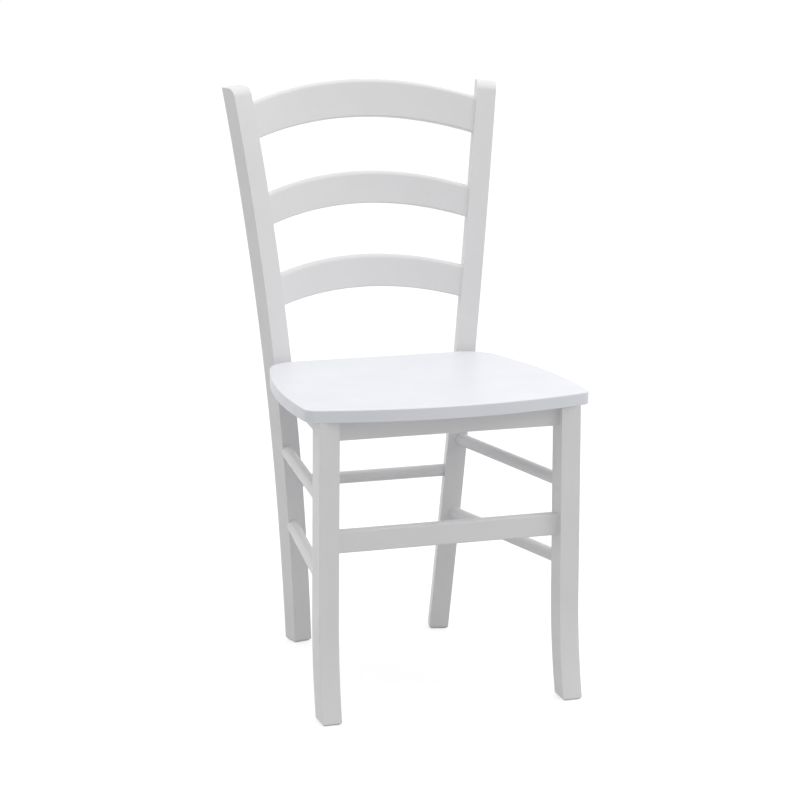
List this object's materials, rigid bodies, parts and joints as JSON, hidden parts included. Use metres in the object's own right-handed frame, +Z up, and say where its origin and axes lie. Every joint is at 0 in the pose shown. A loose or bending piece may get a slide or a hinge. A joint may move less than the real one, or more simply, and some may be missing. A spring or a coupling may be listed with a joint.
{
  "type": "white-lacquered wooden ladder-back dining chair",
  "caption": "Ladder-back dining chair in white-lacquered wood, with arched and bowed slats, a solid wood seat, front legs that sweep forward and round side stretchers.",
  "frame": {"origin": "on the floor, under the middle of the chair's overall box", "axes": "+Z up; the chair faces -Y, so its back is towards +Y; +X is the side named right, on the right of someone who looks at the chair's front"},
  "size_m": [0.4466, 0.4902, 0.8893],
  "materials": {
    "white_lacquer": "white satin lacquer over beech",
    "white_seat": "white satin lacquer over beech",
    "bare_beech": "bare planed beech",
    "zinc_screw": "zinc-plated"
  },
  "bodies": {
    "root": {"front_leg_left": "white_lacquer", "front_leg_right": "white_lacquer", "back_post_left": "white_lacquer", "back_post_right": "white_lacquer", "top_slat": "white_lacquer", "middle_slat": "white_lacquer", "bottom_slat": "white_lacquer", "seat_panel": "white_seat", "front_rail": "white_lacquer", "back_rail": "white_lacquer", "side_rail_left": "white_lacquer", "side_rail_right": "white_lacquer", "front_stretcher": "white_lacquer", "back_stretcher": "white_lacquer", "upper_rod_left": "white_lacquer", "upper_rod_right": "white_lacquer", "lower_rod_left": "white_lacquer", "lower_rod_right": "white_lacquer", "block_front_left": "white_lacquer", "block_front_right": "white_lacquer", "block_back_left": "white_lacquer", "block_back_right": "white_lacquer", "rail_dowels": "bare_beech", "seat_screws": "zinc_screw"}
  },
  "joints": []
}
